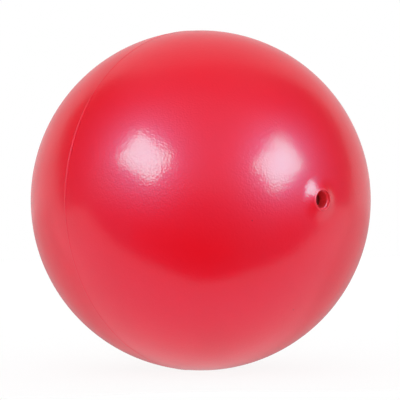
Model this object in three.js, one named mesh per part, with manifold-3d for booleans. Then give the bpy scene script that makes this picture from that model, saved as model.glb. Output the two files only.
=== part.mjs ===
// Playground ball of soft vinyl: a hollow shell moulded in one piece, with the ridge that the mould's two halves
// leave round its middle, and a boss at one pole. A valve housing is bonded into the boss, and a self-sealing rubber
// plug sits deep in the housing's bore.
// Millimetres, +Z up. The origin is the centre of the ball. The valve looks along -Y, so the ridge lies in the plane
// of X and Z, and the ball rests on a small flat that its own weight presses into the skin.

import * as THREE from "three";
import { mergeVertices } from "three/addons/utils/BufferGeometryUtils.js";
import Module from "manifold-3d";

const wasm = await Module();
wasm.setup();

// Shell
const BALL_DIAMETER = 216;
const SHELL_WALL = 1.5;
const RIDGE_WIDTH = 1.0;
const RIDGE_CREST = 0.3;
const RIDGE_HEIGHT = 0.3;
const CONTACT_DIAMETER = 22;

// Boss that flares out of the shell round the valve
const BOSS_DIAMETER = 36;
const BOSS_RISE = 2.0;

// Valve housing: a tube with a flange that is bonded to the inside of the shell
const BORE_DIAMETER = 10.4;
const HOUSING_WALL = 1.6;
const RIM_STAND = 0.4;
const RIM_CHAMFER = 0.45;
const FLANGE_DIAMETER = 32;
const FLANGE_THICKNESS = 1.3;
const SHOULDER_THICKNESS = 1.8;
const SHOULDER_LEDGE = 2.2;
const BOND_GAP = 0.3;

// Self-sealing plug, with ribs that bear on the bore and a funnel that guides the inflating needle
const PLUG_RECESS = 8;
const PLUG_LENGTH = 12.4;
const PLUG_CLEARANCE = 0.2;
const SEAT_GAP = 0.3;
const RIB_COUNT = 4;
const RIB_HEIGHT = 0.5;
const RIB_WIDTH = 1.4;
const FUNNEL_DIAMETER = 3.4;
const FUNNEL_DEPTH = 1.6;
const NEEDLE_DIAMETER = 1.0;
const SEAL_THICKNESS = 4.4;

// Facets
const SHELL_SEGMENTS = 64;
const VALVE_SEGMENTS = 32;
const SKIN_STEPS = 18;
const LINING_STEPS = 10;
const BOSS_STEPS = 6;
const FLANGE_STEPS = 4;

// Places that follow from the sizes
const BALL_RADIUS = BALL_DIAMETER / 2;
const BOSS_RADIUS = BOSS_DIAMETER / 2;
const BORE_RADIUS = BORE_DIAMETER / 2;
const TUBE_RADIUS = BORE_RADIUS + HOUSING_WALL;
const HOLE_RADIUS = TUBE_RADIUS + BOND_GAP;
const FLANGE_RADIUS = FLANGE_DIAMETER / 2;
const FLANGE_INSET = SHELL_WALL + BOND_GAP;
const EQUATOR = (BALL_RADIUS * Math.PI) / 2;
const FAR_POLE = BALL_RADIUS * Math.PI;
const FLOOR_Z = -Math.sqrt(BALL_RADIUS ** 2 - (CONTACT_DIAMETER / 2) ** 2);
const RIM_Y = skinPoint(HOLE_RADIUS, 0).y - RIM_STAND;
const PLUG_END = PLUG_RECESS + PLUG_LENGTH;
const SHOULDER_TOP = PLUG_END + SEAT_GAP;
const HOUSING_END = SHOULDER_TOP + SHOULDER_THICKNESS;

const VINYL = { color: 0xd6182e, roughness: 0.32, metalness: 0.15 };
const RUBBER = { color: 0x241012, roughness: 0.7, metalness: 0 };

// Height of the boss over the round ball, at a distance along the skin from the valve's axis: it flares up towards
// the valve as a parabola does.
function bossRise(reach) {
  const share = Math.max(0, (BOSS_RADIUS - reach) / (BOSS_RADIUS - HOLE_RADIUS));
  return BOSS_RISE * share ** 2;
}

// Point of the skin's half section, as distance from the valve's axis and place along it, at a distance along the
// skin from that axis, and sunk by inset below the outer surface.
function skinPoint(reach, inset) {
  const angle = reach / BALL_RADIUS;
  const radius = BALL_RADIUS + bossRise(reach) - inset;
  return new THREE.Vector2(radius * Math.sin(angle), -radius * Math.cos(angle));
}

// Points of the skin from one reach to another, without the last one.
function skinRun(from, to, steps, inset) {
  return Array.from({ length: steps }, (_, i) => skinPoint(from + ((to - from) * i) / steps, inset));
}

// Point of the valve's half section at a depth below the plane of the rim.
function valvePoint(radius, depth) {
  return new THREE.Vector2(radius, RIM_Y + depth);
}

// Solid bounded by a geometry's triangles, without those that shrink to nothing on an axis.
function solidOf(geometry) {
  geometry.deleteAttribute("normal");
  geometry.deleteAttribute("uv");
  const { attributes, index } = mergeVertices(geometry);
  const triVerts = [];
  for (let i = 0; i < index.count; i += 3) {
    const [a, b, c] = index.array.slice(i, i + 3);
    if (a !== b && b !== c && c !== a) triVerts.push(a, b, c);
  }
  const mesh = { numProp: 3, vertProperties: attributes.position.array, triVerts: new Uint32Array(triVerts) };
  return new wasm.Manifold(new wasm.Mesh(mesh));
}

// Solid turned about the Y axis from a half section.
function turned(section, segments) {
  return solidOf(new THREE.LatheGeometry(section, segments));
}

// Block that holds all of the ball above a level.
function above(level) {
  const side = 2 * BALL_DIAMETER;
  return solidOf(new THREE.BoxGeometry(side, side, side).translate(0, 0, level + side / 2));
}

// Named mesh of a solid.
function piece(name, solid, finish) {
  const { vertProperties, triVerts } = solid.getMesh();
  const geometry = new THREE.BufferGeometry()
    .setAttribute("position", new THREE.BufferAttribute(vertProperties, 3))
    .setIndex(new THREE.BufferAttribute(triVerts, 1));
  geometry.computeVertexNormals();
  const mesh = new THREE.Mesh(geometry, new THREE.MeshStandardMaterial(finish));
  mesh.name = name;
  return mesh;
}

// Whole ball under its skin, closed over the valve, with the parting ridge.
function ballOutside() {
  const section = [
    new THREE.Vector2(0, skinPoint(HOLE_RADIUS, 0).y),
    ...skinRun(HOLE_RADIUS, BOSS_RADIUS, BOSS_STEPS, 0),
    ...skinRun(BOSS_RADIUS, EQUATOR - RIDGE_WIDTH / 2, SKIN_STEPS, 0),
    skinPoint(EQUATOR - RIDGE_WIDTH / 2, 0),
    skinPoint(EQUATOR - RIDGE_CREST / 2, -RIDGE_HEIGHT),
    skinPoint(EQUATOR + RIDGE_CREST / 2, -RIDGE_HEIGHT),
    ...skinRun(EQUATOR + RIDGE_WIDTH / 2, FAR_POLE, SKIN_STEPS, 0),
    new THREE.Vector2(0, BALL_RADIUS),
  ];
  return turned(section, SHELL_SEGMENTS);
}

// Hollow inside the skin, with the hole that takes the valve housing.
function ballHollow() {
  const section = [
    valvePoint(0, -RIM_STAND),
    valvePoint(HOLE_RADIUS, -RIM_STAND),
    new THREE.Vector2(HOLE_RADIUS, skinPoint(HOLE_RADIUS, SHELL_WALL).y),
    ...skinRun(HOLE_RADIUS, BOSS_RADIUS, BOSS_STEPS, SHELL_WALL).slice(1),
    ...skinRun(BOSS_RADIUS, EQUATOR, LINING_STEPS, SHELL_WALL),
    ...skinRun(EQUATOR, FAR_POLE, LINING_STEPS, SHELL_WALL),
    new THREE.Vector2(0, BALL_RADIUS - SHELL_WALL),
  ];
  return turned(section, SHELL_SEGMENTS);
}

// One-piece skin. The flat under it is pressed into the whole wall, so the wall keeps its thickness there.
function ballShell() {
  const outside = ballOutside().intersect(above(FLOOR_Z));
  const hollow = ballHollow().intersect(above(FLOOR_Z + SHELL_WALL));
  return piece("ball_shell", outside.subtract(hollow), VINYL);
}

// Tube with a chamfered rim, a flange that follows the inside of the shell, and a shoulder that stops the plug.
function valveHousing() {
  const upperFace = skinRun(TUBE_RADIUS, FLANGE_RADIUS, FLANGE_STEPS, FLANGE_INSET);
  const lowerFace = skinRun(TUBE_RADIUS, FLANGE_RADIUS, FLANGE_STEPS, FLANGE_INSET + FLANGE_THICKNESS);
  const section = [
    valvePoint(BORE_RADIUS, RIM_CHAMFER),
    valvePoint(BORE_RADIUS + RIM_CHAMFER, 0),
    valvePoint(TUBE_RADIUS - RIM_CHAMFER, 0),
    valvePoint(TUBE_RADIUS, RIM_CHAMFER),
    new THREE.Vector2(TUBE_RADIUS, upperFace[0].y),
    ...upperFace.slice(1),
    skinPoint(FLANGE_RADIUS, FLANGE_INSET),
    skinPoint(FLANGE_RADIUS, FLANGE_INSET + FLANGE_THICKNESS),
    ...lowerFace.slice(1).reverse(),
    new THREE.Vector2(TUBE_RADIUS, lowerFace[0].y),
    valvePoint(TUBE_RADIUS, HOUSING_END),
    valvePoint(BORE_RADIUS - SHOULDER_LEDGE, HOUSING_END),
    valvePoint(BORE_RADIUS - SHOULDER_LEDGE, SHOULDER_TOP),
    valvePoint(BORE_RADIUS, SHOULDER_TOP),
    valvePoint(BORE_RADIUS, RIM_CHAMFER),
  ];
  return piece("valve_housing", turned(section, VALVE_SEGMENTS), VINYL);
}

// Half section of the plug's side: ribs evenly spaced from end to end, with a narrower waist between each two.
function ribbedSide() {
  const ribRadius = BORE_RADIUS - PLUG_CLEARANCE;
  const waistRadius = ribRadius - RIB_HEIGHT;
  const pitch = (PLUG_LENGTH - RIB_WIDTH) / (RIB_COUNT - 1);
  const slope = Math.min(RIB_HEIGHT, (pitch - RIB_WIDTH) / 2);
  const ribs = Array.from({ length: RIB_COUNT }, (_, i) => PLUG_RECESS + i * pitch);
  const side = ribs.flatMap((top) => [
    valvePoint(waistRadius, top - slope),
    valvePoint(ribRadius, top),
    valvePoint(ribRadius, top + RIB_WIDTH),
    valvePoint(waistRadius, top + RIB_WIDTH + slope),
  ]);
  return side.slice(1, -1);
}

// Rubber plug between the recess and the shoulder. The needle pierces the seal below the blind hole.
function valvePlug() {
  const section = [
    valvePoint(0, PLUG_END - SEAL_THICKNESS),
    valvePoint(NEEDLE_DIAMETER / 2, PLUG_END - SEAL_THICKNESS),
    valvePoint(NEEDLE_DIAMETER / 2, PLUG_RECESS + FUNNEL_DEPTH),
    valvePoint(FUNNEL_DIAMETER / 2, PLUG_RECESS),
    ...ribbedSide(),
    valvePoint(0, PLUG_END),
  ];
  return piece("valve_plug", turned(section, VALVE_SEGMENTS), RUBBER);
}

const ball = new THREE.Group();
ball.add(ballShell(), valveHousing(), valvePlug());
export default ball;
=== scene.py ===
"""Looks of a playground ball of red pearl vinyl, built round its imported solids.

Metres, +Z up. The origin is the centre of the ball, the valve looks along -Y and the parting ridge lies in
the plane of X and Z. The studio has axes of its own: right, up and near, as the camera of the main picture
sees them.
"""

import logging
import math
from dataclasses import dataclass
from enum import Enum

import bpy
import numpy as np
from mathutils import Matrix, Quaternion, Vector


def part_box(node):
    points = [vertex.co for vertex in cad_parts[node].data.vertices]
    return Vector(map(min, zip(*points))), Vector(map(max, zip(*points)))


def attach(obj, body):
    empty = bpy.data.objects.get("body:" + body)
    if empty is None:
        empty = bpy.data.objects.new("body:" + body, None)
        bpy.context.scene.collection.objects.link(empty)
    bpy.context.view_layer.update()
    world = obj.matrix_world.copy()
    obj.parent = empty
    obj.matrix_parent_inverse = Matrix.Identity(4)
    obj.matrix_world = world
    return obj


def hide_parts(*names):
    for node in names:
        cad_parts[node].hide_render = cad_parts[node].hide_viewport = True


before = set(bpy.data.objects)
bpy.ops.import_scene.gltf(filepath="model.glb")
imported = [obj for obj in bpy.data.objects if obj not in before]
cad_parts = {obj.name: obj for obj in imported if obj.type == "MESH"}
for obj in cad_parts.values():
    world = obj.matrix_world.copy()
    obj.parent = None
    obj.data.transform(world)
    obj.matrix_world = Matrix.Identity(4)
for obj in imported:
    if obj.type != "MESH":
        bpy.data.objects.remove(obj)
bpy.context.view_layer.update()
BALL_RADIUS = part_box("ball_shell")[1].y

MM = 0.001
TURN = 2.0 * math.pi
PICTURE_SIDE = 400
ARC_POINTS = 9
OUTLINE_STEP = 0.5 * MM
WHITE = (1.0, 1.0, 1.0, 1.0)

Colour = tuple[float, float, float]
Corner = tuple[float, float, float]
Length = float | np.ndarray
log = logging.getLogger("playground_ball")


class Closure(Enum):
    """How the half section of a turned surface ends."""

    POLES = "both ends lie on the axis"
    LOOP = "the last point joins the first"


def smooth_step(value: np.ndarray, low: float, high: float) -> np.ndarray:
    """Smooth rise from 0 at low to 1 at high: a share s of the way becomes s squared times 3 - 2 s."""
    share = np.clip((value - low) / (high - low), 0.0, 1.0)
    return share**2 * (3.0 - 2.0 * share)


def turned_grid(section: np.ndarray, segments: int) -> np.ndarray:
    """Carries a half section round the Y axis.

    A point (r, y) of the section becomes the ring (r sin a, y, r cos a) over evenly spaced angles a.

    Args:
        section: Rows of distance from the axis and place along it.
        segments: Number of points in each ring.

    Returns:
        Grid of points, section by ring by three.
    """
    angle = np.linspace(0.0, TURN, segments, endpoint=False)
    radius, along = section[:, :1], section[:, 1:]
    return np.stack([radius * np.sin(angle), along + 0.0 * angle, radius * np.cos(angle)], axis=-1)


def grid_faces(rows: int, segments: int, closure: Closure) -> tuple[np.ndarray, np.ndarray]:
    """Joins the points of a turned grid into faces.

    Neighbouring rings are joined by quads. With poles, the first and last vertex each close a ring with a
    fan.

    Args:
        rows: Number of rings, poles left out.
        segments: Number of points in each ring.
        closure: How the half section ends.

    Returns:
        Quads and triangles as rows of vertex numbers.
    """
    first = np.arange(segments)
    following = np.roll(first, -1)
    offset = 1 if closure is Closure.POLES else 0
    lower = np.arange(rows - 1 if closure is Closure.POLES else rows)[:, None] * segments
    upper = (lower + segments) % (rows * segments)
    quads = np.stack([lower + first, lower + following, upper + following, upper + first], axis=-1)
    quads = quads.reshape(-1, 4) + offset
    if closure is Closure.LOOP:
        return quads, np.empty((0, 3), int)
    last_ring = (rows - 1) * segments + offset
    pole = rows * segments + offset
    near_fan = np.stack([0 * first, following + offset, first + offset], axis=-1)
    far_fan = np.stack([0 * first + pole, last_ring + first, last_ring + following], axis=-1)
    return quads, np.concatenate([near_fan, far_fan])


def grid_object(name: str, grid: np.ndarray, closure: Closure) -> bpy.types.Object:
    """Makes a closed, smooth mesh object of a turned grid, with its faces pointing out.

    The faces are turned round where the volume under them, the sum of a . (b x c) / 6, comes out negative.

    Args:
        name: Name of the object and its mesh.
        grid: Points, section by ring by three. With poles, its first and last row are one point repeated.
        closure: How the half section ends.

    Returns:
        The object, linked to the scene.
    """
    rings = grid[1:-1] if closure is Closure.POLES else grid
    points = rings.reshape(-1, 3)
    if closure is Closure.POLES:
        points = np.concatenate([grid[:1, 0], points, grid[-1:, 0]])
    quads, fans = grid_faces(len(rings), rings.shape[1], closure)
    halves = np.concatenate([quads[:, [0, 1, 2]], quads[:, [0, 2, 3]], fans])
    a, b, c = (points[halves[:, i]] for i in range(3))
    if np.einsum("ij,ij->", a, np.cross(b, c)) < 0.0:
        quads, fans = quads[:, ::-1], fans[:, ::-1]
    mesh = bpy.data.meshes.new(name)
    mesh.from_pydata(points, [], quads.tolist() + fans.tolist())
    mesh.shade_smooth()
    obj = bpy.data.objects.new(name, mesh)
    bpy.context.scene.collection.objects.link(obj)
    return obj


def rounded_outline(corners: list[Corner], closure: Closure) -> np.ndarray:
    """Rounds the corners of an outline and splits its straight runs.

    A corner of radius f gives way to an arc that touches both of its edges, f / tan(half the corner's angle)
    away from it. Points on a straight run are at most OUTLINE_STEP apart.

    Args:
        corners: Each corner's distance from the axis, place along it and radius.
        closure: How the outline ends.

    Returns:
        Points of the outline.
    """
    closed = closure is Closure.LOOP
    spots = np.array(corners)
    pieces = []
    for i, (spot, radius) in enumerate(zip(spots[:, :2], spots[:, 2])):
        if radius == 0.0 or (not closed and i in (0, len(spots) - 1)):
            pieces.append(spot[None])
            continue
        back = spots[i - 1, :2] - spot
        ahead = spots[(i + 1) % len(spots), :2] - spot
        back, ahead = back / np.linalg.norm(back), ahead / np.linalg.norm(ahead)
        half = 0.5 * math.acos(float(np.clip(back @ ahead, -1.0, 1.0)))
        middle = (back + ahead) / np.linalg.norm(back + ahead)
        centre = spot + middle * radius / math.sin(half)
        start = spot + back * radius / math.tan(half)
        end = spot + ahead * radius / math.tan(half)
        share = np.linspace(0.0, 1.0, ARC_POINTS)[:, None]
        chord = (1.0 - share) * (start - centre) + share * (end - centre)
        pieces.append(centre + radius * chord / np.linalg.norm(chord, axis=1, keepdims=True))
    outline = np.concatenate(pieces + ([pieces[0][:1]] if closed else []))
    runs = np.linalg.norm(np.diff(outline, axis=0), axis=1)
    counts = np.maximum(1, np.ceil(runs / OUTLINE_STEP).astype(int))
    parts = [np.linspace(p, q, n, endpoint=False) for p, q, n in zip(outline[:-1], outline[1:], counts)]
    return np.concatenate(parts if closed else parts + [outline[-1:]])


class NodeMaker:
    """Small helper that adds nodes to one node tree and joins them."""

    def __init__(self, tree: bpy.types.NodeTree) -> None:
        """Keeps the tree and clears it."""
        self.tree = tree
        tree.nodes.clear()

    def add(self, kind: str, settings: dict | None = None, **inputs: object) -> bpy.types.Node:
        """Adds a node.

        Args:
            kind: Blender's name of the node's type.
            settings: Values of the node's own properties.
            inputs: Values or output sockets for the inputs, by name with _ for a space, or by number after
                an n.

        Returns:
            The new node.
        """
        node = self.tree.nodes.new(kind)
        for key, value in (settings or {}).items():
            setattr(node, key, value)
        for key, value in inputs.items():
            numbered = key[0] == "n" and key[1:].isdigit()
            socket = node.inputs[int(key[1:])] if numbered else node.inputs[key.replace("_", " ")]
            if isinstance(value, bpy.types.NodeSocket):
                self.tree.links.new(value, socket)
            else:
                socket.default_value = value
        return node

    def math(self, operation: str, first: object, second: object = 0.0) -> bpy.types.NodeSocket:
        """Result of a math node of two values."""
        return self.add("ShaderNodeMath", {"operation": operation}, n0=first, n1=second).outputs[0]

    def ramp(self, value: object, low: float, high: float) -> bpy.types.NodeSocket:
        """Smooth step of a value from 0 at low to 1 at high."""
        settings = {"interpolation_type": "SMOOTHSTEP"}
        return self.add("ShaderNodeMapRange", settings, Value=value, From_Min=low, From_Max=high).outputs[0]

    def mixed(self, share: object, first: object, second: object) -> bpy.types.NodeSocket:
        """Colour between two colours, which are inputs 6 and 7 and output 2 of Blender's mix node."""
        node = self.add("ShaderNodeMix", {"data_type": "RGBA"}, n0=share, n6=first, n7=second)
        return node.outputs[2]

    def spread(self, value: object, least: float, most: float) -> bpy.types.NodeSocket:
        """Value from 0 to 1 spread over a range."""
        return self.add("ShaderNodeMapRange", Value=value, To_Min=least, To_Max=most).outputs[0]

    def noise(self, place: object, scale: object, detail: float = 0.0) -> bpy.types.NodeSocket:
        """Value of a noise whose features are about 1 / scale metres large, with so many finer octaves."""
        return self.add("ShaderNodeTexNoise", Vector=place, Scale=scale, Detail=detail).outputs[0]

    def bump(self, height: object, distance: float, under: object = None) -> bpy.types.NodeSocket:
        """Normal of a bump of a height from 0 to 1, on top of another normal or of the plain surface.

        Args:
            height: Height socket.
            distance: What a height of 1 stands for.
            under: Normal socket of another bump.

        Returns:
            The normal.
        """
        node = self.add("ShaderNodeBump", Strength=1.0, Distance=distance, Height=height)
        if under is not None:
            self.tree.links.new(under, node.inputs["Normal"])
        return node.outputs[0]


def new_finish(name: str) -> tuple[bpy.types.Material, NodeMaker]:
    """Makes an empty node material.

    Args:
        name: Name of the material.

    Returns:
        The material and a maker for its nodes.
    """
    material = bpy.data.materials.new(name)
    material.use_nodes = True
    return material, NodeMaker(material.node_tree)


@dataclass(frozen=True)
class SurfaceMarks:
    """Effect that all finishes share: slow changes of tone, specks of dust and pits, and a fine grain.

    Attributes:
        cloud: Size of the slow changes of tone.
        cloud_detail: Number of finer octaves in them.
        cloud_range: Values of their noise at which the tone starts to change and at which it has.
        spacing: Distance between places that may hold a speck.
        speck: Share of that distance that a speck's radius takes.
        speck_core: Share of a speck's radius within which it is full.
        rarity: Share of the places that stay clean.
    """

    cloud: float = 45.0 * MM
    cloud_detail: float = 4.0
    cloud_range: tuple[float, float] = (0.3, 0.7)
    spacing: float = 9.0 * MM
    speck: float = 0.05
    speck_core: float = 0.4
    rarity: float = 0.86

    def group(self) -> bpy.types.NodeTree:
        """Builds the shader node group once, with the outputs Tone, Specks and Grain.

        Returns:
            The node group.
        """
        name = "surface_marks"
        if name in bpy.data.node_groups:
            return bpy.data.node_groups[name]
        tree = bpy.data.node_groups.new(name, "ShaderNodeTree")
        make = NodeMaker(tree)
        tree.interface.new_socket("Place", in_out="INPUT", socket_type="NodeSocketVector")
        tree.interface.new_socket("Grain Scale", in_out="INPUT", socket_type="NodeSocketFloat")
        for output in ("Tone", "Specks", "Grain"):
            tree.interface.new_socket(output, in_out="OUTPUT", socket_type="NodeSocketFloat")
        place, grain_scale = make.add("NodeGroupInput").outputs[:2]
        tone = make.ramp(make.noise(place, 1.0 / self.cloud, self.cloud_detail), *self.cloud_range)
        cells = make.add("ShaderNodeTexVoronoi", Vector=place, Scale=1.0 / self.spacing)
        near = make.ramp(cells.outputs["Distance"], self.speck, self.speck_core * self.speck)
        chance = make.add("ShaderNodeSeparateColor", Color=cells.outputs["Color"]).outputs[0]
        specks = make.math("MULTIPLY", near, make.math("GREATER_THAN", chance, self.rarity))
        make.add("NodeGroupOutput", Tone=tone, Specks=specks, Grain=make.noise(place, grain_scale))
        return tree

    def apply(self, make: NodeMaker, grain: float) -> dict[str, bpy.types.NodeSocket]:
        """Places the group in a material.

        Args:
            make: Maker of the material's nodes.
            grain: Size of the grain.

        Returns:
            The group's outputs by name, and the Place that they are read at.
        """
        place = make.add("ShaderNodeTexCoord").outputs["Object"]
        group = {"node_tree": self.group()}
        marks = make.add("ShaderNodeGroup", group, Place=place, Grain_Scale=1.0 / grain)
        return {"Place": place, **{output.name: output for output in marks.outputs}}


@dataclass(frozen=True)
class PearlVinyl:
    """Glossy skin of soft vinyl whose pigment holds fine pearl flakes.

    A rough, cool lobe of the flakes lies under a clear gloss. A fine ripple, which is also the grain of the
    pigment, breaks up the highlights at their edges.

    Attributes:
        name: Name of the material.
        pigment: Main red.
        shade: Deeper red of the slow changes of tone.
        dirt: Colour of specks and pits.
        flake: Tint of the light that the flakes mirror.
        flake_level: How much they mirror.
        flake_roughness: Roughness of their lobe, least and most.
        ior: Index of refraction of the vinyl.
        grain: Size of the grain of the pigment.
        grain_height: Height of that grain.
        gloss: Weight of the clear gloss.
        gloss_roughness: Roughness of the clear gloss.
        ripple: Size of the fine ripple in the gloss.
        ripple_height: Height of that ripple.
        peel: Size of the slow waves in the gloss.
        peel_height: Height of those waves.
    """

    name: str = "pearl_vinyl"
    pigment: Colour = (0.82, 0.001, 0.005)
    shade: Colour = (0.79, 0.001, 0.004)
    dirt: Colour = (0.16, 0.002, 0.004)
    flake: Colour = (0.15, 0.41, 1.0)
    flake_level: float = 0.67
    flake_roughness: tuple[float, float] = (0.44, 0.5)
    ior: float = 1.5
    grain: float = 1.1 * MM
    grain_height: float = 0.06 * MM
    gloss: float = 0.55
    gloss_roughness: float = 0.15
    ripple: float = 1.1 * MM
    ripple_height: float = 0.075 * MM
    peel: float = 7.0 * MM
    peel_height: float = 0.08 * MM

    def material(self) -> bpy.types.Material:
        """Builds the material.

        Returns:
            The material, ready to be given to an object.
        """
        material, make = new_finish(self.name)
        marks = SurfaceMarks().apply(make, self.grain)
        red = make.mixed(marks["Tone"], (*self.pigment, 1.0), (*self.shade, 1.0))
        red = make.mixed(marks["Specks"], red, (*self.dirt, 1.0))
        grain = make.bump(marks["Grain"], self.grain_height)
        ripple = make.bump(make.noise(marks["Place"], 1.0 / self.ripple), self.ripple_height)
        peel = make.bump(make.noise(marks["Place"], 1.0 / self.peel), self.peel_height, ripple)
        roughness = make.spread(marks["Tone"], *self.flake_roughness)
        shader = make.add(
            "ShaderNodeBsdfPrincipled", Base_Color=red, Roughness=roughness, IOR=self.ior, Normal=grain,
            Specular_IOR_Level=self.flake_level, Specular_Tint=(*self.flake, 1.0),
            Coat_Weight=self.gloss, Coat_Roughness=self.gloss_roughness, Coat_IOR=self.ior, Coat_Normal=peel)
        make.add("ShaderNodeOutputMaterial", Surface=shader.outputs[0])
        return material


@dataclass(frozen=True)
class SealRubber:
    """Dull maroon rubber of the valve's plug, with a fine grain and a trace of dust.

    Attributes:
        tint: Colour of the rubber.
        dust: Colour of the dust in its grain.
        dust_share: How much of that dust shows.
        dust_range: Heights of the grain at which the dust starts and at which it is full.
        roughness: Roughness, least and most.
        specular: Specular level.
        grain: Size of the grain.
        grain_height: Height of the grain.
    """

    tint: Colour = (0.15, 0.004, 0.003)
    dust: Colour = (0.22, 0.02, 0.02)
    dust_share: float = 0.5
    dust_range: tuple[float, float] = (0.5, 0.75)
    roughness: tuple[float, float] = (0.6, 0.75)
    specular: float = 0.15
    grain: float = 0.35 * MM
    grain_height: float = 0.03 * MM

    def material(self) -> bpy.types.Material:
        """Builds the material.

        Returns:
            The material, ready to be given to an object.
        """
        material, make = new_finish("seal_rubber")
        marks = SurfaceMarks().apply(make, self.grain)
        dusty = make.math("MULTIPLY", make.ramp(marks["Grain"], *self.dust_range), self.dust_share)
        dusty = make.math("MAXIMUM", dusty, marks["Specks"])
        colour = make.mixed(dusty, (*self.tint, 1.0), (*self.dust, 1.0))
        roughness = make.spread(marks["Tone"], *self.roughness)
        shader = make.add(
            "ShaderNodeBsdfPrincipled", Base_Color=colour, Roughness=roughness,
            Specular_IOR_Level=self.specular, Normal=make.bump(marks["Grain"], self.grain_height))
        make.add("ShaderNodeOutputMaterial", Surface=shader.outputs[0])
        return material


@dataclass(frozen=True)
class View:
    """Camera of the main picture, and the studio's axes.

    Attributes:
        azimuth: Angle of the camera round the ball, from the valve's axis.
        distance: Distance of the camera from the ball's centre.
        roll: Turn of the camera about its own axis.
        centre: Place of the ball's centre in the picture, in pixels.
        ball_pixels: Radius of the ball's outline in the picture.
    """

    azimuth: float = math.radians(-41.2)
    distance: float = 1180.0 * MM
    roll: float = math.radians(-0.45)
    centre: tuple[float, float] = (200.74, 200.4)
    ball_pixels: float = 170.1

    def place(self, right: Length, up: Length, near: Length) -> np.ndarray:
        """Point given along the studio's axes, in the ball's frame.

        Args:
            right: Distance to the right in the picture.
            up: Distance upwards.
            near: Distance towards the camera.

        Returns:
            The point, or an array of points.
        """
        sin, cos = math.sin(self.azimuth), math.cos(self.azimuth)
        x, y = right * cos + near * sin, right * sin - near * cos
        return np.stack(np.broadcast_arrays(x, y, up), axis=-1)

    def build_camera(self) -> None:
        """Makes the camera and sets it as the scene's own."""
        data = bpy.data.cameras.new("camera")
        outline = math.tan(math.asin(BALL_RADIUS / self.distance))
        data.lens = data.sensor_width * self.ball_pixels / outline / PICTURE_SIDE
        data.shift_x = (PICTURE_SIDE / 2 - self.centre[0]) / PICTURE_SIDE
        data.shift_y = (self.centre[1] - PICTURE_SIDE / 2) / PICTURE_SIDE
        camera = bpy.data.objects.new("camera", data)
        camera.location = self.place(0.0, 0.0, self.distance)
        facing = Vector(-self.place(0.0, 0.0, 1.0)).to_track_quat("-Z", "Y")
        camera.rotation_euler = (facing @ Quaternion((0.0, 0.0, 1.0), self.roll)).to_euler()
        bpy.context.scene.collection.objects.link(camera)
        bpy.context.scene.camera = camera


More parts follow.
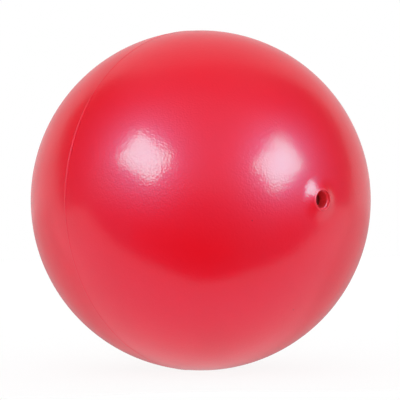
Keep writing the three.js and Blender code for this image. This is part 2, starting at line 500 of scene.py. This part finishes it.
@dataclass
class BallShell:
    """One-piece skin with its parting ridge, its boss round the valve and the flat that it rests on.

    Attributes:
        radius: Radius of the round ball.
        floor: Height of the contact flat.
        edge: Distance along the skin from the valve's axis to the bond with the housing.
        wall: Thickness of the skin.
        ridge_width: Width of the parting ridge.
        ridge_height: Height of the parting ridge.
        boss_radius: Distance along the skin at which the boss ends.
        boss_base: Distance along the skin at which the boss is boss_rise high.
        boss_rise: Height of the boss.
        boss_power: How hollow the boss's flank is, where 1 is a plain cone.
        lip: Radius of the skin's edge at the bond.
        press: Softness of the contact flat's edge.
        segments: Number of points in each ring.
        outer_rings: Numbers of rings on the outer face: far half, ridge, near half and boss.
        lip_rings: Number of rings on the rounded edge.
        inner_rings: Numbers of rings on the inner face: boss and all the rest.
    """

    radius: float
    floor: float
    edge: float
    wall: float = 1.5 * MM
    ridge_width: float = 1.3 * MM
    ridge_height: float = 0.155 * MM
    boss_radius: float = 15.5 * MM
    boss_base: float = 7.1 * MM
    boss_rise: float = 1.83 * MM
    boss_power: float = 2.0
    lip: float = 0.03 * MM
    press: float = 0.1 * MM
    segments: int = 256
    outer_rings: tuple[int, int, int, int] = (96, 20, 84, 28)
    lip_rings: int = 6
    inner_rings: tuple[int, int] = (16, 60)

    def boss(self, reach: np.ndarray) -> np.ndarray:
        """Height of the boss at a reach along the skin: rise times a power of the share left to its foot."""
        share = np.maximum(0.0, (self.boss_radius - reach) / (self.boss_radius - self.boss_base))
        return self.boss_rise * share**self.boss_power

    def ridge(self, reach: np.ndarray) -> np.ndarray:
        """Height of the parting ridge: one wave of a cosine across its width, and none beyond it."""
        off = np.clip((reach - self.radius * TURN / 4) / (self.ridge_width / 2), -1.0, 1.0)
        return self.ridge_height * 0.5 * (1.0 + np.cos(math.pi * off))

    def section(self, reach: np.ndarray, inset: np.ndarray | float) -> np.ndarray:
        """Points of the skin's half section.

        At an angle of reach / radius from the valve, a point is radius + boss + ridge - inset away from the
        centre. The ridge fades out from the outer face to the inner one.

        Args:
            reach: Distances along the skin from the valve's axis.
            inset: Depths below the outer face.

        Returns:
            Rows of distance from the axis and place along it.
        """
        angle = reach / self.radius
        outer = self.ridge(reach) * np.clip(1.0 - inset / self.wall, 0.0, 1.0)
        radius = self.radius + self.boss(reach) + outer - inset
        return np.stack([radius * np.sin(angle), -radius * np.cos(angle)], axis=-1)

    def pressed(self, grid: np.ndarray, floor: np.ndarray) -> np.ndarray:
        """Flattens points against a floor.

        A height z becomes floor + press * log(1 + exp((z - floor) / press)), a soft bend into the flat.

        Args:
            grid: Points.
            floor: Height of the floor for each row of points.

        Returns:
            The pressed points.
        """
        pressed = grid.copy()
        pressed[..., 2] = floor + self.press * np.logaddexp(0.0, (grid[..., 2] - floor) / self.press)
        return pressed

    def build(self, finish: bpy.types.Material) -> bpy.types.Object:
        """Builds the skin: outer face from far pole to valve, rounded edge, inner face back to the pole.

        Args:
            finish: Material of the skin.

        Returns:
            The finished piece.
        """
        equator, pole = self.radius * TURN / 4, self.radius * TURN / 2
        near, beyond = equator - self.ridge_width, equator + self.ridge_width
        stations = (pole, beyond, near, self.boss_radius, self.edge + self.lip)
        outer = np.concatenate([
            np.linspace(start, end, rings, endpoint=False)
            for start, end, rings in zip(stations[:-1], stations[1:], self.outer_rings)])
        turn = np.linspace(0.0, TURN / 4, self.lip_rings)
        lip_reach = self.edge + self.lip * (1.0 - np.sin(turn))
        lip_inset = self.lip * (1.0 - np.cos(turn))
        boss_rings, far_rings = self.inner_rings
        inner = np.concatenate([
            np.linspace(self.edge, self.boss_radius, boss_rings, endpoint=False),
            np.linspace(self.boss_radius, pole, far_rings),
        ])
        reach = np.concatenate([outer, lip_reach, inner])
        inset = np.concatenate([0.0 * outer, lip_inset, 0.0 * inner + self.wall])
        grid = turned_grid(self.section(reach, inset), self.segments)
        floor = self.floor + np.where(inset < self.wall, 0.0, self.wall)
        piece = grid_object("pearl_skin", self.pressed(grid, floor[:, None]), Closure.POLES)
        piece.data.materials.append(finish)
        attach(piece, "ball")
        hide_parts("ball_shell")
        return piece


@dataclass
class ValveHousing:
    """Bonded valve tube: a soft rim over a bore, a flange behind the skin and a shoulder under the plug.

    Attributes:
        skin: The skin that the flange follows.
        rim: Place of the rim along the axis.
        end: Place of the inner end along the axis.
        flange_radius: Distance along the skin at which the flange ends.
        shoulder: Place of the shoulder's face along the axis.
        bore: Radius of the bore.
        tube: Radius of the tube.
        vent: Radius of the hole in the shoulder.
        crest: Radius of the rim's crest.
        rim_fall: Fall of the rim from its crest to the bond.
        mouth: Radius of the mouth at the rim.
        pocket: Radius to which the mouth widens behind the rim.
        pocket_depth: Depths at which it is that wide, starts to narrow and is the bore.
        flange_gap: Depth of the flange's outer face below the skin.
        flange_thickness: Thickness of the flange.
        flange_root: Distance from the tube at which the flange's faces start.
        flange_points: Number of points on each of those faces.
        rim_edges: Radii of the edges of the mouth, the crest and the bond.
        ledge_edges: Radii of the ledge's edges at the bore and at the pocket.
        seat_edge: Radius in the corner of the bore and the shoulder.
        end_edge: Radius of the tube's inner end.
        corner: Radius of all other corners.
        segments: Number of points in each ring.
    """

    skin: BallShell
    rim: float
    end: float
    flange_radius: float
    shoulder: float
    bore: float = 5.2 * MM
    tube: float = 6.8 * MM
    vent: float = 3.0 * MM
    crest: float = 5.9 * MM
    rim_fall: float = 0.41 * MM
    mouth: float = 5.75 * MM
    pocket: float = 6.05 * MM
    pocket_depth: tuple[float, float, float] = (0.9 * MM, 1.7 * MM, 2.2 * MM)
    flange_gap: float = 1.8 * MM
    flange_thickness: float = 1.3 * MM
    flange_root: float = 0.6 * MM
    flange_points: int = 12
    rim_edges: tuple[float, float, float] = (0.1 * MM, 0.15 * MM, 0.03 * MM)
    ledge_edges: tuple[float, float] = (0.12 * MM, 0.15 * MM)
    seat_edge: float = 0.2 * MM
    end_edge: float = 0.4 * MM
    corner: float = 0.3 * MM
    segments: int = 128

    def flange_face(self, inset: float) -> list[Corner]:
        """Points of a face of the flange, from the tube outwards, at a depth below the skin."""
        reach = np.linspace(self.tube + self.flange_root, self.flange_radius, self.flange_points)
        return [(radius, along, 0.0) for radius, along in self.skin.section(reach, inset)]

    def build(self, finish: bpy.types.Material) -> bpy.types.Object:
        """Builds the housing as a closed section turned about the valve's axis.

        Args:
            finish: Material of the housing.

        Returns:
            The finished piece.
        """
        wide, narrowing, narrow = self.pocket_depth
        mouth_edge, crest_edge, bond_edge = self.rim_edges
        bore_edge, pocket_edge = self.ledge_edges
        upper = self.flange_face(self.flange_gap)
        lower = self.flange_face(self.flange_gap + self.flange_thickness)
        corners = [
            (self.mouth, self.rim, mouth_edge),
            (self.crest, self.rim, crest_edge),
            (self.tube, self.rim + self.rim_fall, bond_edge),
            (self.tube, upper[0][1], self.corner),
            *upper,
            *reversed(lower),
            (self.tube, lower[0][1], self.corner),
            (self.tube, self.end, self.end_edge),
            (self.vent, self.end, self.corner),
            (self.vent, self.shoulder, self.corner),
            (self.bore, self.shoulder, self.seat_edge),
            (self.bore, self.rim + narrow, bore_edge),
            (self.pocket, self.rim + narrowing, pocket_edge),
            (self.pocket, self.rim + wide, self.corner),
        ]
        outline = rounded_outline(corners, Closure.LOOP)
        piece = grid_object("valve_rim_and_tube", turned_grid(outline, self.segments), Closure.LOOP)
        piece.data.materials.append(finish)
        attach(piece, "ball")
        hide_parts("valve_housing")
        return piece


@dataclass
class ValvePlug:
    """Ribbed rubber plug with a funnel and a blind hole for the inflating needle.

    Attributes:
        face: Place of its outer face along the axis.
        end: Place of its inner end along the axis.
        rib_radius: Radius over the ribs.
        rib_height: Height of the ribs.
        rib_width: Width of a rib.
        rib_edge: Radius of the ribs' edges and feet.
        ribs: Number of ribs.
        funnel: Radius of the funnel's mouth.
        funnel_depth: Depth of the funnel.
        needle: Radius of the blind hole.
        hole_edges: Radii of the blind hole's bottom, the funnel's bottom and the funnel's mouth.
        seal: Thickness of rubber under the blind hole.
        segments: Number of points in each ring.
    """

    face: float
    end: float
    rib_radius: float = 5.0 * MM
    rib_height: float = 0.5 * MM
    rib_width: float = 1.4 * MM
    rib_edge: float = 0.25 * MM
    ribs: int = 4
    funnel: float = 1.7 * MM
    funnel_depth: float = 1.6 * MM
    needle: float = 0.5 * MM
    hole_edges: tuple[float, float, float] = (0.15 * MM, 0.2 * MM, 0.3 * MM)
    seal: float = 4.4 * MM
    segments: int = 96

    def side(self) -> list[Corner]:
        """Lists the corners of the ribbed side: ribs at an even pitch, each between the feet of its slopes.

        Returns:
            The corners from outer face to inner end, where the first and last rib have no outer foot.
        """
        pitch = (self.end - self.face - self.rib_width) / (self.ribs - 1)
        waist = self.rib_radius - self.rib_height
        slope = self.rib_height
        soft = self.rib_edge
        corners = []
        for top in self.face + pitch * np.arange(self.ribs):
            corners += [
                (waist, top - slope, soft),
                (self.rib_radius, top, soft),
                (self.rib_radius, top + self.rib_width, soft),
                (waist, top + self.rib_width + slope, soft),
            ]
        return corners[1:-1]

    def build(self, finish: bpy.types.Material) -> bpy.types.Object:
        """Builds the plug as a section from the bottom of its needle hole to the middle of its inner end.

        Args:
            finish: Material of the plug.

        Returns:
            The finished piece.
        """
        bottom_edge, neck_edge, mouth_edge = self.hole_edges
        corners = [
            (0.0, self.end - self.seal, 0.0),
            (self.needle, self.end - self.seal, bottom_edge),
            (self.needle, self.face + self.funnel_depth, neck_edge),
            (self.funnel, self.face, mouth_edge),
            *self.side(),
            (0.0, self.end, 0.0),
        ]
        outline = rounded_outline(corners, Closure.POLES)
        piece = grid_object("needle_plug", turned_grid(outline, self.segments), Closure.POLES)
        piece.data.materials.append(finish)
        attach(piece, "plug")
        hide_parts("valve_plug")
        return piece


@dataclass(frozen=True)
class Softbox:
    """Oblong softbox that stands on a corner, with a brighter middle.

    Attributes:
        name: Name of its lamps.
        spot: Place of its middle to the right, up and near.
        roll: Turn of its long side from level, as seen from the ball.
        strength: Strength of the whole panel: its power in watts, over pi times its area.
        middle_strength: Strength that the middle adds, likewise over its own area.
        long_side: Length of its long side.
        short_side: Length of its short side.
        middle_share: Share of the panel's sides that the middle takes.
        tint: Colour of its light.
    """

    name: str
    spot: tuple[float, float, float]
    roll: float
    strength: float
    middle_strength: float
    long_side: float = 0.67
    short_side: float = 0.47
    middle_share: float = 0.62
    tint: Colour = (0.23, 1.0, 0.88)

    def build(self, view: View) -> None:
        """Hangs the panel and its middle, both facing the ball.

        They show in the gloss only. The surroundings and the fill light the colour under it.

        Args:
            view: Holder of the studio's axes.
        """
        spot = Vector(view.place(*self.spot))
        facing = (-spot).to_track_quat("-Z", "Y") @ Quaternion((0.0, 0.0, 1.0), self.roll)
        panel = ("panel", 1.0, self.strength)
        middle = ("middle", self.middle_share, self.middle_strength)
        for part, share, strength in (panel, middle):
            data = bpy.data.lights.new(f"softbox_{self.name}_{part}", "AREA")
            data.shape = "RECTANGLE"
            data.size = self.long_side * share
            data.size_y = self.short_side * share
            data.energy = strength * math.pi * data.size * data.size_y
            data.color = self.tint
            lamp = bpy.data.objects.new(data.name, data)
            lamp.location = spot
            lamp.rotation_euler = facing.to_euler()
            lamp.visible_diffuse = False
            bpy.context.scene.collection.objects.link(lamp)


@dataclass
class Studio:
    """White surroundings, white paper under the ball, two softboxes, soft fill and a room with a dark front.

    Attributes:
        view: Camera and axes of the studio.
        floor: Height of the paper.
        paper_front: How far the paper reaches in front of the ball's centre.
        paper_turn: Turn of the paper's front edge from the picture's right.
        paper_dent: Half width and depth of a dent in the middle of that edge.
        paper_reach: How far it reaches to the sides and behind.
        paper_tone: Brightness of the paper's own colour.
        paper_glow: Share of plain white that the camera and the gloss see in the paper.
        bounce: Share of plain white in what the paper throws back onto the ball's colour.
        paper_shade: Share of its light that the paper loses behind the ball, out of the softboxes' reach.
        shade_width: Half width of that shade beside the ball.
        shade_spread: How much wider it gets on each side for its way back.
        shade_depth: Distances towards the camera at which it is gone and at which it is full.
        fill: Brightness of each of two soft lights from the front.
        fill_side: How far to the side the two come from, with 1 near.
        fill_height: How far above the ball the two come from.
        room_radius: Distance of the room's walls.
        wall: Brightness of the pale walls behind the set.
        wall_fall: Share of that brightness that is lost straight above.
        spill: Brightness of the softboxes' spill on the walls in front.
        spill_rise: Heights, as shares of the radius, between which the spill grows to its full brightness.
        spill_near: Nearness, as shares of the radius, between which it does so too.
        ceiling: Brightness of the spill on the ceiling.
        ceiling_rise: Heights, as shares of the radius, between which that one grows.
        curtain_edge: Edge of the pale walls: angles round the near axis from the right, and from that axis.
        curtain_soft: Half width of that edge, as an angle.
    """

    view: View
    floor: float
    paper_front: float = 155.0 * MM
    paper_turn: float = math.radians(-6.8)
    paper_dent: tuple[float, float] = (85.0 * MM, 14.0 * MM)
    paper_reach: float = 2.3
    paper_tone: float = 0.9
    paper_glow: float = 0.9
    bounce: float = 0.6
    paper_shade: float = 0.48
    shade_width: float = 0.2
    shade_spread: float = 1.8
    shade_depth: tuple[float, float] = (0.035, -0.005)
    fill: float = 0.712
    fill_side: float = 8.0
    fill_height: float = 0.5
    room_radius: float = 2.6
    wall: float = 0.82
    wall_fall: float = 0.35
    spill: float = 0.48
    spill_rise: tuple[float, float] = (-0.08, 0.2)
    spill_near: tuple[float, float] = (0.0, 0.45)
    ceiling: float = 0.29
    ceiling_rise: tuple[float, float] = (0.7, 0.95)
    curtain_edge: tuple[tuple[float, ...], ...] = (
        (-90, -20, 0, 9, 30, 45, 65, 90, 112, 127, 145, 160, 170, 180, 200, 270),
        (100, 107, 118, 121.5, 126.5, 123, 108.5, 99.5, 101, 119, 124.5, 118, 110.5, 104.5, 102, 100),
    )
    curtain_soft: float = math.radians(5.0)

    def white_paper(self) -> bpy.types.Material:
        """White paper that the camera sees as plain white, with a trace of its shading.

        The gloss of the ball also sees that the light of the softboxes doesn't reach behind the ball.

        Returns:
            The material.
        """
        material, make = new_finish("white_paper")
        path = make.add("ShaderNodeLightPath").outputs
        seen = make.math("MAXIMUM", path["Is Camera Ray"], path["Is Glossy Ray"])
        seen = make.math("MAXIMUM", seen, path["Is Transmission Ray"])
        share = make.spread(seen, self.bounce, self.paper_glow)
        place = make.add("ShaderNodeTexCoord").outputs["Object"]
        dot = {"operation": "DOT_PRODUCT"}
        aside, near = (
            make.add("ShaderNodeVectorMath", dot, n0=place, n1=axis).outputs["Value"]
            for axis in (self.view.place(1.0, 0.0, 0.0), self.view.place(0.0, 0.0, 1.0)))
        beyond = make.math("SUBTRACT", make.math("ABSOLUTE", aside), self.shade_width)
        beyond = make.math("MAXIMUM", beyond, 0.0)
        depth = make.math("ADD", near, make.math("DIVIDE", beyond, self.shade_spread))
        shade = make.ramp(depth, *self.shade_depth)
        shade = make.math("MULTIPLY", shade, make.math("SUBTRACT", 1.0, path["Is Camera Ray"]))
        glow = make.math("SUBTRACT", 1.0, make.math("MULTIPLY", shade, self.paper_shade))
        tone = self.paper_tone
        paper = make.add("ShaderNodeBsdfDiffuse", Color=(tone, tone, tone, 1.0))
        white = make.add("ShaderNodeEmission", Color=WHITE, Strength=glow)
        mixed = make.add("ShaderNodeMixShader", n0=share, n1=paper.outputs[0], n2=white.outputs[0])
        make.add("ShaderNodeOutputMaterial", Surface=mixed.outputs[0])
        return material

    def build_paper(self) -> None:
        """Lays the paper: a flat sheet whose front edge is turned a little in the studio's axes.

        The dent in the middle of that edge is one wave of a cosine.
        """
        half, depth = self.paper_dent
        points = 25
        across = np.linspace(-1.0, 1.0, points)
        dent = depth * 0.5 * (1.0 + np.cos(math.pi * across))
        reach = self.paper_reach
        along = np.concatenate([[-reach], half * across, [reach, reach, -reach]])
        back = -np.concatenate([[0.0], dent, [0.0, reach, reach]])
        sin, cos = math.sin(self.paper_turn), math.cos(self.paper_turn)
        right, near = along * cos - back * sin, self.paper_front + along * sin + back * cos
        corners = self.view.place(right, self.floor, near)
        mesh = bpy.data.meshes.new("paper_floor")
        mesh.from_pydata(corners, [], [tuple(range(len(corners)))])
        mesh.materials.append(self.white_paper())
        paper = bpy.data.objects.new("paper_floor", mesh)
        bpy.context.scene.collection.objects.link(paper)

    def build_room(self) -> None:
        """Closes the set in a sphere round the near axis: dim out to a soft edge, with pale walls behind it.

        A point's glow is the wall's beyond the edge, less with its height. Within the edge it is the spill,
        which fades out below the horizon and towards the sides, or the ceiling's straight above. The camera
        looks through the room, and it throws no shadow.
        """
        columns, front_rings, edge_rings, back_rings = 144, 40, 12, 24
        around = np.linspace(0.0, TURN, columns, endpoint=False)
        angles, limits = self.curtain_edge
        turned = (np.degrees(around) - angles[0]) % 360.0 + angles[0]
        edge = np.radians(np.interp(turned, angles, limits))
        soft = self.curtain_soft
        front = np.linspace(0.0, 1.0, front_rings, endpoint=False)[:, None] * (edge - soft)
        across = edge + np.linspace(-1.0, 1.0, edge_rings, endpoint=False)[:, None] * soft
        behind = np.linspace(edge + soft, 0.0 * edge + TURN / 2, back_rings)
        away = np.concatenate([front, across, behind])
        ways = np.stack([np.sin(away) * np.cos(around), np.sin(away) * np.sin(around), np.cos(away)])
        _, height, nearness = ways
        spill = self.spill * smooth_step(height, *self.spill_rise) * smooth_step(nearness, *self.spill_near)
        spill = np.maximum(spill, self.ceiling * smooth_step(height, *self.ceiling_rise))
        wall = self.wall * (1.0 - self.wall_fall * np.maximum(height, 0.0))
        glow = spill + (wall - spill) * smooth_step(away - edge, -soft, soft)
        quads, _ = grid_faces(len(away), len(around), Closure.LOOP)
        mesh = bpy.data.meshes.new("room")
        points = self.room_radius * self.view.place(*ways)
        mesh.from_pydata(points.reshape(-1, 3), [], quads[:-len(around)].tolist())
        glows = mesh.attributes.new("glow", "FLOAT", "POINT")
        glows.data.foreach_set("value", glow.ravel().astype(np.float32))
        material, make = new_finish("room")
        glow_value = make.add("ShaderNodeAttribute", {"attribute_name": "glow"}).outputs["Fac"]
        light = make.add("ShaderNodeEmission", Color=WHITE, Strength=glow_value)
        make.add("ShaderNodeOutputMaterial", Surface=light.outputs[0])
        mesh.materials.append(material)
        room = bpy.data.objects.new("room", mesh)
        room.visible_camera = False
        room.visible_shadow = False
        bpy.context.scene.collection.objects.link(room)

    def build_fill(self) -> None:
        """Adds soft light from both sides of the front, which lights colours as the dark room can't.

        It shows in no gloss.
        """
        for side in (-self.fill_side, self.fill_side):
            data = bpy.data.lights.new("front_fill", "SUN")
            data.angle = math.pi
            data.energy = self.fill * math.pi
            data.cycles.use_multiple_importance_sampling = False
            fill = bpy.data.objects.new("front_fill", data)
            facing = Vector(-self.view.place(side, self.fill_height, 1.0)).to_track_quat("-Z", "Y")
            fill.rotation_euler = facing.to_euler()
            fill.visible_glossy = False
            bpy.context.scene.collection.objects.link(fill)

    def build_world(self) -> None:
        """Surrounds the set with plain white of strength 1, for the camera and for every other ray."""
        world = bpy.data.worlds.new("white_surround")
        bpy.context.scene.world = world
        world.use_nodes = True
        make = NodeMaker(world.node_tree)
        white = make.add("ShaderNodeBackground", Color=WHITE, Strength=1.0)
        make.add("ShaderNodeOutputWorld", Surface=white.outputs[0])

    def build(self) -> None:
        """Builds the whole set and sets the plain view transform."""
        self.build_paper()
        self.build_room()
        self.build_world()
        self.build_fill()
        Softbox(
            name="left", spot=(-0.715, 0.565, 0.893), roll=math.radians(-28.0), strength=18.5,
            middle_strength=6.5).build(self.view)
        Softbox(
            name="right", spot=(0.975, 0.45, 0.7), roll=math.radians(30.0), strength=16.5,
            middle_strength=11.5).build(self.view)
        self.view.build_camera()
        bpy.context.scene.view_settings.view_transform = "Standard"


def main() -> None:
    shell_low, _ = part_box("ball_shell")
    housing_low, housing_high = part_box("valve_housing")
    plug_low, plug_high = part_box("valve_plug")
    seat_gap = 0.3 * MM
    bond_line = 0.01 * MM
    flange_radius = 16.0 * MM
    vinyl = PearlVinyl().material()
    # Paler copy of the skin's vinyl for the rim and tube: its paler, pinker red is painted light that lifts
    # the shaded bore.
    valve_vinyl = PearlVinyl(
        name="valve_vinyl", pigment=(0.9, 0.036, 0.05), shade=(0.88, 0.034, 0.047), gloss=0.35,
        gloss_roughness=0.3).material()
    rubber = SealRubber().material()
    shell = BallShell(radius=BALL_RADIUS, floor=shell_low.z, edge=ValveHousing.tube + bond_line)
    housing = ValveHousing(
        skin=shell, rim=housing_low.y, end=housing_high.y, flange_radius=flange_radius,
        shoulder=plug_high.y + seat_gap)
    plug = ValvePlug(face=plug_low.y, end=plug_high.y)
    for piece in (shell.build(vinyl), housing.build(valve_vinyl), plug.build(rubber)):
        log.info("%s: %d vertices", piece.name, len(piece.data.vertices))
    Studio(view=View(), floor=shell_low.z).build()


if __name__ == "__main__":
    logging.basicConfig(level=logging.INFO, format="%(name)s: %(message)s")
    main()
